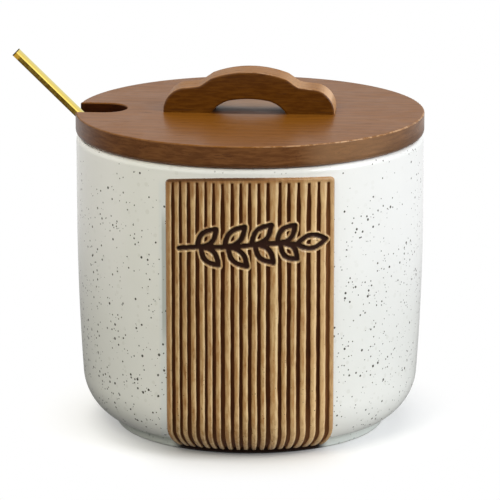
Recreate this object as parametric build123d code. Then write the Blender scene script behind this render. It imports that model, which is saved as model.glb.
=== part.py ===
from build123d import *
import os
from math import asin, atan2, cos, degrees, hypot, radians, sin, sqrt, tan

# Salt keeper: a stoneware jar with a ribbed clay panel, a wooden lid that lifts off,
# and a square-rod spoon that leans out through a slot in the lid's rim.
# Millimetres, +Z up. The origin is on the table under the jar's axis, the panel faces -Y,
# and the spoon leans out towards -X.

# ---------------------------------------------------------------- jar
BODY_RADIUS = 59.8
JAR_HEIGHT = 101.7
WALL = 5.0
LIP_ROUND = 2.0
BELLY_HEIGHT = 74.0  # the wall is upright above this, and draws in below it
HEEL_HEIGHT = 18.0  # the round corner at the bottom starts here
HEEL_TAPER = 1.8  # how far the wall has drawn in at the heel
CORNER_RADIUS = 17.8
CORNER_ARC = 52.0  # degrees that the bottom corner turns before it meets the foot
FOOT_INSET = 13.2  # from the side of the jar in to the foot ring
FOOT_HEIGHT = 3.9
FOOT_WIDTH = 5.0
FOOT_ROUND = 0.8
FOOT_RECESS = 2.5
FLOOR_THICKNESS = 6.0
FLOOR_CORNER = 11.7  # inside round between wall and floor

# ---------------------------------------------------------------- ribbed panel
PANEL_WIDTH = 56.2
RIB_COUNT = 19
GROOVE_WIDTH = 1.25
PANEL_RELIEF = 1.2
PANEL_WEB = 0.4  # clay left under the grooves
PANEL_TOP_GAP = 2.7  # bare jar above the panel, up to the lip
PANEL_TOP_SAG = 1.5  # the top edge is lower at its ends than in its middle
PANEL_RAIL = 1.5  # plain rail above the ribs
PANEL_BEND_HEIGHT = 10.0  # the ribs draw together below this
PANEL_FOOT_SHARE = 0.78  # width at the table, as a share of the width above
RIB_END_HEIGHT = 1.8  # the ribs stop here, above the table
PANEL_END_HEIGHT = 0.5  # the web runs on down the foot ring to here

# ---------------------------------------------------------------- lid
LID_OVERHANG = 0.2  # of the lid past the side of the jar
LID_THICKNESS = 7.8
LID_TOP_EDGE = 0.5
LID_UNDER_EDGE = 2.0
LID_TURN = -4.2  # degrees that the lid and spoon stand turned about +Z
SLOT_WIDTH = 15.8
SLOT_DEPTH = 17.6  # from the rim to the slot's round end

PLUG_GAP = 3.0  # between the plug and the mouth
PLUG_DEPTH = 6.5
PLUG_EDGE = 0.6
SEAL_GROOVE_DEPTH = 1.2
SEAL_GROOVE_HEIGHT = 3.0
SEAL_GROOVE_DROP = 1.7  # from the board's underside to the groove

SEAL_GAP = 0.25  # free play of the seal in its groove and in the mouth
SEAL_BAND = 1.0
SEAL_LIP_ROUND = 0.5
SEAL_OPENING = 15.0  # degrees that the split seal stays clear, each side of the slot's middle

# ---------------------------------------------------------------- handle and its screws
HANDLE_LENGTH = 58.8
HANDLE_WIDTH = 13.0
HANDLE_HEIGHT = 14.3
HANDLE_END_ROUND = 8.0
SHOULDER_HEIGHT = 8.6
SHOULDER_RISE = 0.5  # from the shoulder's outer end up to the foot of the crown
SHOULDER_LENGTH = 4.4
CROWN_SPAN = 26.0
CROWN_DROP = 2.4
CROWN_BLEND = 4.0
ARCH_SPAN = 25.6
ARCH_HEIGHT = 4.9
ARCH_FLAT_SPAN = 12.0
ARCH_FLAT_DROP = 0.5
HANDLE_EDGE = 0.7

SCREW_SPACING = 42.0
SCREW_DIAMETER = 3.6
SCREW_TIP = 2.5
SCREW_BITE = 5.0  # thread length inside the handle, above the board
SCREW_HEAD_DIAMETER = 7.4
SCREW_HEAD_HEIGHT = 2.2
SCREW_SINK = 0.3  # head below the plug's underside
SCREW_PLAY = 0.2  # round the shank in board and plug, and round the head
PILOT_PLAY = 0.02  # round the thread in the handle
DRIVE_WIDTH = 0.9
DRIVE_LENGTH = 4.2
DRIVE_DEPTH = 1.2

# ---------------------------------------------------------------- spoon
ROD = 2.6
ROD_BEVEL = 0.3
SPOON_ROLL = 26.0  # degrees that the spoon is rolled about its rod, its hollow to the front
SPOON_LENGTH = 171.1
BOWL_LENGTH = 38.0
BOWL_WIDTH = 26.0
BOWL_DEPTH = 7.0
BOWL_RAKE = 2.0  # height of the bowl's ellipsoid centre above its rim
BOWL_WALL = 1.1
NECK_LENGTH = 14.0
NECK_WIDTH = 8.0
NECK_THICKNESS = 1.6
SPOON_LEAN_GAP = 0.1  # between the rod and the lip
SPOON_FLOOR_GAP = 0.2  # between the bowl and the jar's floor

# ---------------------------------------------------------------- worked out from the above
floor_top = FOOT_RECESS + FLOOR_THICKNESS
bore_radius = BODY_RADIUS - WALL
foot_radius = BODY_RADIUS - FOOT_INSET
floor_flat_radius = bore_radius - HEEL_TAPER - FLOOR_CORNER
heel_lean = 2 * atan2(HEEL_TAPER, BELLY_HEIGHT - HEEL_HEIGHT)

panel_top = JAR_HEIGHT - PANEL_TOP_GAP
panel_half_angle = degrees(asin(PANEL_WIDTH / 2 / foot_radius))
rib_pitch = (PANEL_WIDTH + GROOVE_WIDTH) / RIB_COUNT
rib_width = rib_pitch - GROOVE_WIDTH

lid_radius = BODY_RADIUS + LID_OVERHANG
lid_top = JAR_HEIGHT + LID_THICKNESS
slot_end = lid_radius - SLOT_DEPTH
plug_radius = bore_radius - PLUG_GAP
plug_bottom = JAR_HEIGHT - PLUG_DEPTH
groove_radius = plug_radius - SEAL_GROOVE_DEPTH
groove_top = JAR_HEIGHT - SEAL_GROOVE_DROP
groove_middle = groove_top - SEAL_GROOVE_HEIGHT / 2
head_bottom = plug_bottom + SCREW_SINK
head_middle = head_bottom + SCREW_HEAD_HEIGHT / 2

# The rod's middle line meets the floor where the floor's corner starts, and passes over the lip's
# round on the other side, so its tilt follows from the jar.
lip_run = floor_flat_radius + bore_radius + LIP_ROUND
lip_rise = JAR_HEIGHT - LIP_ROUND - floor_top
roll = radians(SPOON_ROLL)
rod_reach = ROD / 2 * (cos(roll) + sin(roll)) - ROD_BEVEL * sin(roll)
lip_clearance = LIP_ROUND + SPOON_LEAN_GAP + rod_reach
spoon_tilt = atan2(lip_rise, lip_run) + asin(lip_clearance / hypot(lip_rise, lip_run))

# The bowl is the lower part of an ellipsoid, cut off at its rim.
rim_share = sqrt(1 - (BOWL_RAKE / (BOWL_DEPTH + BOWL_RAKE)) ** 2)
bowl_half_length = BOWL_LENGTH / 2 / rim_share
bowl_half_width = BOWL_WIDTH / 2 / rim_share
bowl_half_depth = BOWL_DEPTH + BOWL_RAKE
bowl_centre_lift = ROD / 2 + BOWL_RAKE  # from the rod's middle line

# The spoon slides down its line until the bowl's lowest point is just above the floor.
bowl_drop = hypot(
    bowl_half_length * sin(spoon_tilt),
    bowl_half_width * sin(roll) * cos(spoon_tilt),
    bowl_half_depth * cos(roll) * cos(spoon_tilt),
)
bowl_centre_height = floor_top + SPOON_FLOOR_GAP + bowl_drop
bowl_centre_reach = SPOON_LENGTH - BOWL_LENGTH / 2
spoon_end_height = (
    bowl_centre_height
    + bowl_centre_reach * sin(spoon_tilt)
    - bowl_centre_lift * cos(roll) * cos(spoon_tilt)
)
spoon_end_x = floor_flat_radius - (spoon_end_height - floor_top) / tan(spoon_tilt)

lid_spin = Rot(0, 0, LID_TURN)


def body_side(out):
    """The jar's side moved outwards by out, from the belly through the draw-in and the bottom corner."""
    heel = (
        BODY_RADIUS - HEEL_TAPER + out * cos(heel_lean),
        HEEL_HEIGHT - out * sin(heel_lean),
    )
    draw_in = TangentArc((BODY_RADIUS + out, BELLY_HEIGHT), heel, tangent=(0, -1))
    corner = JernArc(draw_in @ 1, draw_in % 1, CORNER_RADIUS + out, -CORNER_ARC)
    return draw_in, corner


def round_vertices(section, radius, chosen):
    """Round the corners of a flat section that chosen picks."""
    return fillet([vertex for vertex in section.vertices() if chosen(vertex)], radius)


def turn_section(section, angle=360.0):
    """Turn a section of the XZ plane about the jar's axis, half the angle each side of the front."""
    return Rot(0, 0, -90 - angle / 2) * revolve(Plane.XZ * section, Axis.Z, angle)


def make_jar_body():
    draw_in, corner = body_side(0)
    foot_inner = foot_radius - FOOT_WIDTH
    outside = Line((BODY_RADIUS, JAR_HEIGHT), draw_in @ 0) + [draw_in, corner]
    underside = Polyline(
        corner @ 1,
        (foot_radius, FOOT_HEIGHT),
        (foot_radius, 0),
        (foot_inner, 0),
        (foot_inner, FOOT_RECESS),
        (0, FOOT_RECESS),
    )
    inside = Polyline(
        (0, FOOT_RECESS),
        (0, floor_top),
        (bore_radius - HEEL_TAPER, floor_top),
        (bore_radius, BELLY_HEIGHT),
        (bore_radius, JAR_HEIGHT),
        (BODY_RADIUS, JAR_HEIGHT),
    )
    section = make_face(outside + underside + inside)
    section = round_vertices(section, LIP_ROUND, lambda v: v.Y > panel_top)
    section = round_vertices(section, FOOT_ROUND, lambda v: v.Y < FOOT_ROUND)
    section = round_vertices(
        section, FLOOR_CORNER, lambda v: abs(v.Y - floor_top) < 0.01 and v.X > floor_flat_radius
    )
    return turn_section(section)


def panel_section(out, top, end):
    """Clay of thickness out on the jar's side, from the height top down over the foot ring to end."""
    draw_in, corner = body_side(0)
    outer_draw_in, outer_corner = body_side(out)
    clay_side = Polyline(corner @ 1, (foot_radius, FOOT_HEIGHT), (foot_radius, end))
    outer_side = Polyline(
        outer_corner @ 1,
        (foot_radius + out, FOOT_HEIGHT - out),
        (foot_radius + out, end),
        (foot_radius, end),
    )
    head = Polyline(draw_in @ 0, (BODY_RADIUS, top), (BODY_RADIUS + out, top), outer_draw_in @ 0)
    return make_face([draw_in, corner, clay_side, outer_side, outer_corner, outer_draw_in, head])


def clay(thickness, end):
    """A layer on the front of the jar, wider than the panel that is cut from it."""
    return turn_section(panel_section(thickness, panel_top, end), 2 * panel_half_angle)


def front_strip(left, right, drop=0.0):
    """Everything in front of the jar between two upright lines, under the crowned top edge less drop."""
    half = PANEL_WIDTH / 2
    end_height = panel_top - drop - PANEL_TOP_SAG
    crown = ThreePointArc((-half, end_height), (0, panel_top - drop), (half, end_height))
    under_crown = make_face([crown, Polyline(crown @ 1, (half, 0), (-half, 0), crown @ 0)])
    bend_left, bend_right = (left, PANEL_BEND_HEIGHT), (right, PANEL_BEND_HEIGHT)
    left_foot = TangentArc(bend_left, (left * PANEL_FOOT_SHARE, 0), tangent=(0, -1))
    right_foot = TangentArc(bend_right, (right * PANEL_FOOT_SHARE, 0), tangent=(0, -1))
    head = Polyline(bend_left, (left, panel_top), (right, panel_top), bend_right)
    strip = make_face([left_foot, Line(left_foot @ 1, right_foot @ 1), right_foot, head])
    return extrude(Plane.XZ * (strip & under_crown), 2 * BODY_RADIUS)


def make_ribbed_panel():
    half = PANEL_WIDTH / 2
    relief = clay(PANEL_RELIEF, RIB_END_HEIGHT)
    panel = clay(PANEL_WEB, PANEL_END_HEIGHT) & front_strip(-half, half)
    panel += (relief & front_strip(-half, half)) - front_strip(-PANEL_WIDTH, PANEL_WIDTH, PANEL_RAIL)
    for number in range(RIB_COUNT):
        left = -half + number * rib_pitch
        panel += relief & front_strip(left, left + rib_width)
    return panel


def slot_void(bottom, top):
    """The spoon slot between two heights: open past the rim at -X, round at its inner end."""
    round_centre = -(slot_end + SLOT_WIDTH / 2)
    reach = 2 * lid_radius + round_centre
    middle = (bottom + top) / 2
    channel = Pos(round_centre - reach / 2, 0, middle) * Box(reach, SLOT_WIDTH, top - bottom)
    return channel + Pos(round_centre, 0, middle) * Cylinder(SLOT_WIDTH / 2, top - bottom)


def upright_disc(radius, bottom, top):
    return Pos(0, 0, (bottom + top) / 2) * Cylinder(radius, top - bottom)


def screw_places():
    return [Pos(side * SCREW_SPACING / 2, 0, 0) for side in (-1, 1)]


def make_lid_board():
    board = upright_disc(lid_radius, JAR_HEIGHT, lid_top)
    board = fillet(board.edges().group_by(Axis.Z)[0], LID_UNDER_EDGE)
    board -= slot_void(JAR_HEIGHT - LID_THICKNESS, lid_top + LID_THICKNESS)
    board = fillet(board.faces().sort_by(Axis.Z)[-1].edges(), LID_TOP_EDGE)
    for place in screw_places():
        board -= place * upright_disc(SCREW_DIAMETER / 2 + SCREW_PLAY, JAR_HEIGHT, lid_top)
    return lid_spin * board


def make_lid_plug():
    plug = upright_disc(plug_radius, plug_bottom, JAR_HEIGHT)
    plug = chamfer(plug.edges().group_by(Axis.Z)[0], PLUG_EDGE)
    groove_bottom = groove_top - SEAL_GROOVE_HEIGHT
    groove = upright_disc(bore_radius, groove_bottom, groove_top)
    plug -= groove - upright_disc(groove_radius, groove_bottom, groove_top)
    plug -= slot_void(plug_bottom - PLUG_DEPTH, JAR_HEIGHT)
    head_radius = SCREW_HEAD_DIAMETER / 2 + SCREW_PLAY
    hole_radius = SCREW_DIAMETER / 2 + SCREW_PLAY
    for place in screw_places():
        plug -= place * upright_disc(hole_radius, plug_bottom, JAR_HEIGHT)
        plug -= place * upright_disc(head_radius, plug_bottom, head_bottom)
        plug -= place * Pos(0, 0, head_middle) * Cone(head_radius, hole_radius, SCREW_HEAD_HEIGHT)
    return lid_spin * plug


def make_lid_seal():
    """A flat band in the plug's groove with two soft lips, split where the spoon slot is."""
    band_height = SEAL_GROOVE_HEIGHT - 2 * SEAL_GAP
    band_inner = groove_radius + SEAL_GAP
    lip_end = bore_radius - SEAL_GAP - SEAL_LIP_ROUND
    lip_length = lip_end - band_inner - SEAL_LIP_ROUND
    section = Pos(band_inner + SEAL_BAND / 2, groove_middle) * Rectangle(SEAL_BAND, band_height)
    for side in (-1, 1):
        lip_height = groove_middle + side * (band_height / 2 - SEAL_LIP_ROUND)
        lip = SlotCenterToCenter(lip_length, 2 * SEAL_LIP_ROUND)
        section += Pos(lip_end - lip_length / 2, lip_height) * lip
    ring = turn_section(section, 360 - 2 * SEAL_OPENING)
    return lid_spin * Rot(0, 0, 90) * ring


def handle_outline():
    """One closed outline of the handle seen from the front, its feet at height 0."""
    half = HANDLE_LENGTH / 2
    crown_foot = SHOULDER_HEIGHT + SHOULDER_RISE
    shoulder = half - HANDLE_END_ROUND
    crown_side = (CROWN_SPAN / 2, HANDLE_HEIGHT - CROWN_DROP)
    crown = ThreePointArc((-crown_side[0], crown_side[1]), (0, HANDLE_HEIGHT), crown_side)
    slope = Polyline(crown_side, (shoulder - SHOULDER_LENGTH, crown_foot), (shoulder, SHOULDER_HEIGHT))
    end = JernArc((shoulder, SHOULDER_HEIGHT), (1, 0), HANDLE_END_ROUND, -90)
    arch_side = (ARCH_FLAT_SPAN / 2, ARCH_HEIGHT - ARCH_FLAT_DROP)
    arch = ThreePointArc((-arch_side[0], arch_side[1]), (0, ARCH_HEIGHT), arch_side)
    arch_leg = TangentArc(arch_side, (ARCH_SPAN / 2, 0), tangent=arch % 1)
    foot = Polyline(end @ 1, (half, 0), (ARCH_SPAN / 2, 0))
    right = [slope, end, foot, arch_leg]
    left = [mirror(line, Plane.YZ) for line in right]
    outline = make_face([crown, arch] + right + left)
    return round_vertices(outline, CROWN_BLEND, lambda v: abs(v.Y - crown_foot) < 0.01)


def screw_body(play):
    """Shank and tip of one screw, thicker all round by play."""
    radius = SCREW_DIAMETER / 2 + play
    shank_top = lid_top + SCREW_BITE + play
    shank = upright_disc(radius, head_bottom + SCREW_HEAD_HEIGHT, shank_top)
    return shank + Pos(0, 0, shank_top + SCREW_TIP / 2) * Cone(radius, play, SCREW_TIP)


def make_lid_handle():
    handle = extrude(Plane.XZ * handle_outline(), HANDLE_WIDTH / 2, both=True)
    sides = handle.faces().filter_by(Axis.Y)
    rims = [edge for side in sides for edge in side.edges() if edge.center().Z > HANDLE_EDGE / 2]
    handle = Pos(0, 0, lid_top) * fillet(rims, HANDLE_EDGE)
    for place in screw_places():
        handle -= place * screw_body(PILOT_PLAY)
    return lid_spin * handle


def make_handle_screws():
    head = Cone(SCREW_HEAD_DIAMETER / 2, SCREW_DIAMETER / 2, SCREW_HEAD_HEIGHT)
    bar = Box(DRIVE_LENGTH, DRIVE_WIDTH, 2 * DRIVE_DEPTH)
    drive = bar + Rot(0, 0, 90) * bar
    screw = screw_body(0) + Pos(0, 0, head_middle) * head - Pos(0, 0, head_bottom) * drive
    return Compound([lid_spin * place * screw for place in screw_places()])


def make_bowl():
    """The spoon's bowl, its rim level with the top of the rod, its hollow up."""
    centre = Pos(bowl_centre_reach, 0, bowl_centre_lift)
    outer_size = (bowl_half_length, bowl_half_width, bowl_half_depth)
    inner_size = tuple(half - BOWL_WALL for half in outer_size)
    outer = centre * scale(Sphere(1), by=outer_size)
    inner = centre * scale(Sphere(1), by=inner_size)
    above_rim = Box(
        3 * SPOON_LENGTH, 2 * BOWL_WIDTH, SPOON_LENGTH, align=(Align.CENTER, Align.CENTER, Align.MIN)
    )
    return outer - Pos(0, 0, ROD / 2) * above_rim, inner


def make_salt_spoon():
    """Built along +X from the free end of the rod, then leaned into the slot."""
    bowl, hollow = make_bowl()
    bowl_start = SPOON_LENGTH - BOWL_LENGTH
    rod = Box(
        bowl_start + 2 * BOWL_WALL, ROD, ROD, align=(Align.MIN, Align.CENTER, Align.CENTER)
    )
    rod = chamfer(rod.edges().filter_by(Axis.X), ROD_BEVEL)
    neck_start = bowl_start - NECK_LENGTH / 2
    neck_end = bowl_start + NECK_LENGTH / 2
    neck_outline = Polyline(
        (neck_start, ROD / 2),
        (neck_end, NECK_WIDTH / 2),
        (neck_end, -NECK_WIDTH / 2),
        (neck_start, -ROD / 2),
        close=True,
    )
    neck = Pos(0, 0, ROD / 2) * extrude(make_face(neck_outline), -NECK_THICKNESS)
    spoon = rod + bowl + neck - hollow
    lean = Plane(
        origin=(spoon_end_x, 0, spoon_end_height),
        x_dir=(cos(spoon_tilt), 0, -sin(spoon_tilt)),
        z_dir=(sin(spoon_tilt), 0, cos(spoon_tilt)),
    )
    return lid_spin * Location(lean) * Rot(SPOON_ROLL, 0, 0) * spoon


os.makedirs("parts", exist_ok=True)
pieces = {
    "jar_body": make_jar_body(),
    "ribbed_panel": make_ribbed_panel(),
    "lid_board": make_lid_board(),
    "lid_plug": make_lid_plug(),
    "lid_seal": make_lid_seal(),
    "lid_handle": make_lid_handle(),
    "handle_screws": make_handle_screws(),
    "salt_spoon": make_salt_spoon(),
}
for name, piece in pieces.items():
    export_step(piece, f"parts/{name}.step")
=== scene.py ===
"""Salt keeper: a round speckled stoneware jar with a ribbed brown panel on its front, a wooden lid
with a bridge handle, and a gold-coloured spoon that leans out through a slot in the lid."""

import math

import bpy
import numpy as np
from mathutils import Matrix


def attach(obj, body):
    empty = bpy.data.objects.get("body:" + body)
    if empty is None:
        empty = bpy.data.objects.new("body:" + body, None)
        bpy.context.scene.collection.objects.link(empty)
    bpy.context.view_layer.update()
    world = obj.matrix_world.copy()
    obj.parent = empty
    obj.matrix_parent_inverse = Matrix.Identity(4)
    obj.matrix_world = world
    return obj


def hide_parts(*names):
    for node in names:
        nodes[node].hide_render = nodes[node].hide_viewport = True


MM = 0.001

# -------- sizes, in mm
BODY_RADIUS = 59.8
JAR_HEIGHT = 101.7
LIP_ROUND = 2.0
BELLY_HEIGHT = 74.0
HEEL_HEIGHT = 18.0
HEEL_TAPER = 1.8
CORNER_RADIUS = 17.8
CORNER_ARC = math.radians(52)
FOOT_RADIUS = 46.6
FOOT_HEIGHT = 3.9
FOOT_WIDTH = 5.0
FOOT_ROUND = 0.8
FOOT_FLAT = 1.7  # from the ring's edges to the flat that it stands on
FOOT_RECESS = 2.5
FLOOR_TOP = 8.5
FLOOR_CORNER = 11.7
BORE_RADIUS = 54.8
JAR_TURNS = 256

PANEL_HALF = 28.1
PANEL_TOP = 99.0
PANEL_SAG = 1.5
PANEL_SLANT = 0.5
PANEL_BOTTOM = 0.5
PANEL_BEND = 10.0
PANEL_FOOT_SHARE = 0.78
PANEL_SINK = 0.35  # how deep its border goes into the jar
PANEL_RISE = 1.19  # the most that it stands out of the jar
PANEL_COLUMNS = 300
PANEL_ROWS = 290
EDGE_STEP = 0.15  # the first step at an edge of the sheet, as a share of a middle one
EDGE_ROUND = 0.65
RIB_PITCH = 3.0237
FIRST_GROOVE = -25.7
RIB_END = 1.8
# how far each groove, from left to right, strays from even spacing
GROOVE_DRIFT = [
    0.20, -0.43, -0.68, -0.76, -0.98, -1.43, -1.52, -1.24, -1.50,
    -1.60, -1.56, -1.68, -0.56, -0.82, -0.54, -0.20, 0.07, 0.28,
]  # fmt: skip
DRIFT_REACH = 2.5
TWIG_HEIGHT = 76.6

LID_TURN = math.radians(-4.2)
LID_TOP = 109.5
ROD_TILT = 44.5  # degrees above level
ROD_ROLL = 26.0  # degrees about its own line

FLOOR_HALF = 6000
FLOOR_DEPTH = 0.02
CAMERA_PLACE = (0, -1.300, 0.3798)  # metres
CAMERA_TURN = 76.17  # degrees up from straight down
CAMERA_LENS = 277.7

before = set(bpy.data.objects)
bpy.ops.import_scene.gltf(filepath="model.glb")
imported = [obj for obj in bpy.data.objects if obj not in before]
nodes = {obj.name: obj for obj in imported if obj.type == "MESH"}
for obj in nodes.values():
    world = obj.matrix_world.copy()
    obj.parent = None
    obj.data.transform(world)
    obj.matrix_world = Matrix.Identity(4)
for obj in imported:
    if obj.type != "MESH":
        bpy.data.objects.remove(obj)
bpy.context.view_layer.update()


# -------- small helpers
def place_in_scene(name, data):
    """A new object of this data, in the scene."""
    piece = bpy.data.objects.new(name, data)
    bpy.context.scene.collection.objects.link(piece)
    return piece


def make_mesh(name, points, faces, material=None):
    """A smooth mesh object from points in mm."""
    mesh = bpy.data.meshes.new(name)
    mesh.from_pydata([tuple(p) for p in np.asarray(points) * MM], [], [tuple(f) for f in faces])
    mesh.validate()
    mesh.update()
    mesh.polygons.foreach_set("use_smooth", [True] * len(mesh.polygons))
    if material:
        mesh.materials.append(material)
    return place_in_scene(name, mesh)


def grid_faces(rows, columns, wrap=False):
    """Quads of a grid whose points run along each row in turn."""
    across = columns if wrap else columns - 1
    faces = []
    for row in range(rows - 1):
        near, far = row * columns, (row + 1) * columns
        for column in range(across):
            following = (column + 1) % columns
            faces.append((near + column, near + following, far + following, far + column))
    return faces


def arc(centre, radius, start, end, count):
    """Points of an arc, angles in radians, both ends included."""
    turns = np.linspace(start, end, count)
    return [(centre[0] + radius * math.cos(t), centre[1] + radius * math.sin(t)) for t in turns]


def smoothstep(low, high, value):
    """A soft rise from 0 to 1, for whole arrays."""
    share = np.clip((np.asarray(value, float) - low) / (high - low), 0, 1)
    return share * share * (3 - 2 * share)


# -------- node helpers
class Nodes:
    """Adds and links nodes of one tree, with short names for the ones used most."""

    def __init__(self, tree):
        self.tree = tree

    def add(self, kind, inputs=None, **settings):
        node = self.tree.nodes.new(kind)
        for name, value in settings.items():
            setattr(node, name, value)
        self.dress(node, inputs or {})
        return node

    def dress(self, node, inputs):
        """Link or set a node's sockets, given by name or number."""
        for key, value in inputs.items():
            self.put(node.inputs[key], value)

    def put(self, socket, value):
        """Link a socket to this one, or set this one; a colour may be given without its alpha."""
        if isinstance(value, bpy.types.NodeSocket):
            self.tree.links.new(value, socket)
        elif socket.type == "RGBA" and len(value) == 3:
            socket.default_value = (*value, 1)
        else:
            socket.default_value = value

    def math(self, operation, a, b=0.0, c=0.0):
        return self.add("ShaderNodeMath", {0: a, 1: b, 2: c}, operation=operation).outputs[0]

    def times(self, *values):
        result = values[0]
        for value in values[1:]:
            result = self.math("MULTIPLY", result, value)
        return result

    def times_plus(self, a, b, c):
        return self.math("MULTIPLY_ADD", a, b, c)

    def plus(self, a, b):
        return self.math("ADD", a, b)

    def minus(self, a, b):
        return self.math("SUBTRACT", a, b)

    def flip(self, mask):
        return self.minus(1.0, mask)

    def most(self, a, b):
        return self.math("MAXIMUM", a, b)

    def size(self, value):
        """A value without its sign."""
        return self.math("ABSOLUTE", value)

    def under(self, value, limit):
        return self.math("LESS_THAN", value, limit)

    def over(self, value, limit):
        return self.math("GREATER_THAN", value, limit)

    def step(self, value, low, high, to_low=0.0, to_high=1.0, kind="SMOOTHSTEP"):
        node = self.add(
            "ShaderNodeMapRange",
            {"Value": value, "From Min": low, "From Max": high, "To Min": to_low, "To Max": to_high},
            interpolation_type=kind,
        )
        return node.outputs["Result"]

    def rise(self, value, low, high, full=1.0, least=0.0):
        """A soft rise from least to full between two places in mm."""
        return self.step(value, low * MM, high * MM, least, full)

    def fall(self, value, low, high, full=1.0, least=0.0):
        """A soft fall from full to least between two places in mm."""
        return self.step(value, low * MM, high * MM, full, least)

    def spread(self, noise, low, high):
        """A noise, which mostly runs from 0.3 to 0.7, laid evenly over another range."""
        return self.step(noise, 0.3, 0.7, low, high, "LINEAR")

    def mix(self, share, a, b, kind="MIX"):
        node = self.add("ShaderNodeMix", {0: share}, data_type="RGBA", blend_type=kind)
        self.put(node.inputs[6], a)
        self.put(node.inputs[7], b)
        return node.outputs[2]

    def blend(self, share, a, b):
        """Between two numbers."""
        return self.add("ShaderNodeMix", {0: share, 2: a, 3: b}, data_type="FLOAT").outputs[0]

    def coats(self, colour, *layers):
        """Colours laid over the first one, each through its own mask."""
        for mask, coat in layers:
            colour = self.mix(mask, colour, coat)
        return colour

    def ramp(self, value, stops):
        node = self.add("ShaderNodeValToRGB", {"Fac": value})
        elements = node.color_ramp.elements
        while len(elements) < len(stops):
            elements.new(1.0)
        for element, (place, colour) in zip(elements, stops):
            element.position = place
            element.color = (*colour, 1)
        return node.outputs["Color"]

    def noise(self, vector, scale, detail=2.0, roughness=0.5, distortion=0.0):
        inputs = {"Vector": vector, "Scale": scale, "Detail": detail}
        inputs.update({"Roughness": roughness, "Distortion": distortion})
        return self.add("ShaderNodeTexNoise", inputs).outputs["Fac"]

    def cloud(self, vector, size, *settings):
        """Noise whose clouds are about this many mm across."""
        return self.noise(vector, 1 / (size * MM), *settings)

    def mapping(self, vector, scale=(1, 1, 1), turn=(0, 0, 0), shift=(0, 0, 0)):
        inputs = {"Vector": vector, "Scale": scale, "Rotation": turn, "Location": shift}
        return self.add("ShaderNodeMapping", inputs).outputs["Vector"]

    def split(self, vector):
        return self.add("ShaderNodeSeparateXYZ", {0: vector}).outputs

    def vector(self, operation, *values, **named):
        inputs = {**dict(enumerate(values)), **named}
        node = self.add("ShaderNodeVectorMath", inputs, operation=operation)
        return node.outputs["Value" if operation in ("LENGTH", "DOT_PRODUCT") else "Vector"]

    def group(self, tree, vector, **inputs):
        return self.add("ShaderNodeGroup", {"Vector": vector, **inputs}, node_tree=tree).outputs

    def bump(self, height, distance, strength):
        """A bumped normal; the distance is in mm."""
        inputs = {"Height": height, "Distance": distance * MM, "Strength": strength}
        return self.add("ShaderNodeBump", inputs).outputs[0]


def add_socket(tree, name, kind="Float", value=None, way="INPUT"):
    socket = tree.interface.new_socket(name, in_out=way, socket_type="NodeSocket" + kind)
    if value is not None:
        socket.default_value = value


def shader_group(name, inputs, outputs):
    """An empty shader group: a Vector input, number inputs {name: default}, number outputs [name]."""
    group = bpy.data.node_groups.new(name, "ShaderNodeTree")
    add_socket(group, "Vector", "Vector")
    for socket_name, default in inputs.items():
        add_socket(group, socket_name, value=default)
    for socket_name in outputs:
        add_socket(group, socket_name, way="OUTPUT")
    n = Nodes(group)
    start = n.add("NodeGroupInput")
    end = n.add("NodeGroupOutput")
    return group, n, start.outputs, end.inputs


def speckle_group():
    """A mask of iron dots in a glaze, each of its own size, that gather in patches. Sizes in mm."""
    group, n, given, out = shader_group(
        "Glaze speckle", {"Cell": 2.0, "Dot": 0.3, "Keep": 0.5, "Patch": 14.0}, ["Mask"]
    )
    wobble = n.add("ShaderNodeTexNoise", {"Vector": given["Vector"], "Scale": 1.9 / MM, "Detail": 1.0})
    stray = (0.22 * MM, 0.22 * MM, 0.22 * MM)
    shifted = n.vector("MULTIPLY_ADD", wobble.outputs["Color"], stray, given["Vector"])
    cells = n.add(
        "ShaderNodeTexVoronoi",
        {"Vector": shifted, "Scale": n.math("DIVIDE", 1.0 / MM, given["Cell"])},
        voronoi_dimensions="3D",
        feature="F1",
    ).outputs
    distance = n.times(cells["Distance"], given["Cell"])
    chance = n.add("ShaderNodeSeparateColor", {"Color": cells["Color"]}).outputs
    radius = n.times(n.times_plus(chance[0], 0.7, 0.45), given["Dot"])
    dot = n.flip(n.step(distance, n.times(radius, 0.72), radius))
    patches = n.noise(given["Vector"], n.math("DIVIDE", 1.0 / MM, given["Patch"]), 1.0)
    crowd = n.step(patches, 0.40, 0.62, 0.15)
    kept = n.under(chance[1], n.times(crowd, given["Keep"]))
    n.put(out["Mask"], n.times(dot, kept))
    return group


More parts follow.
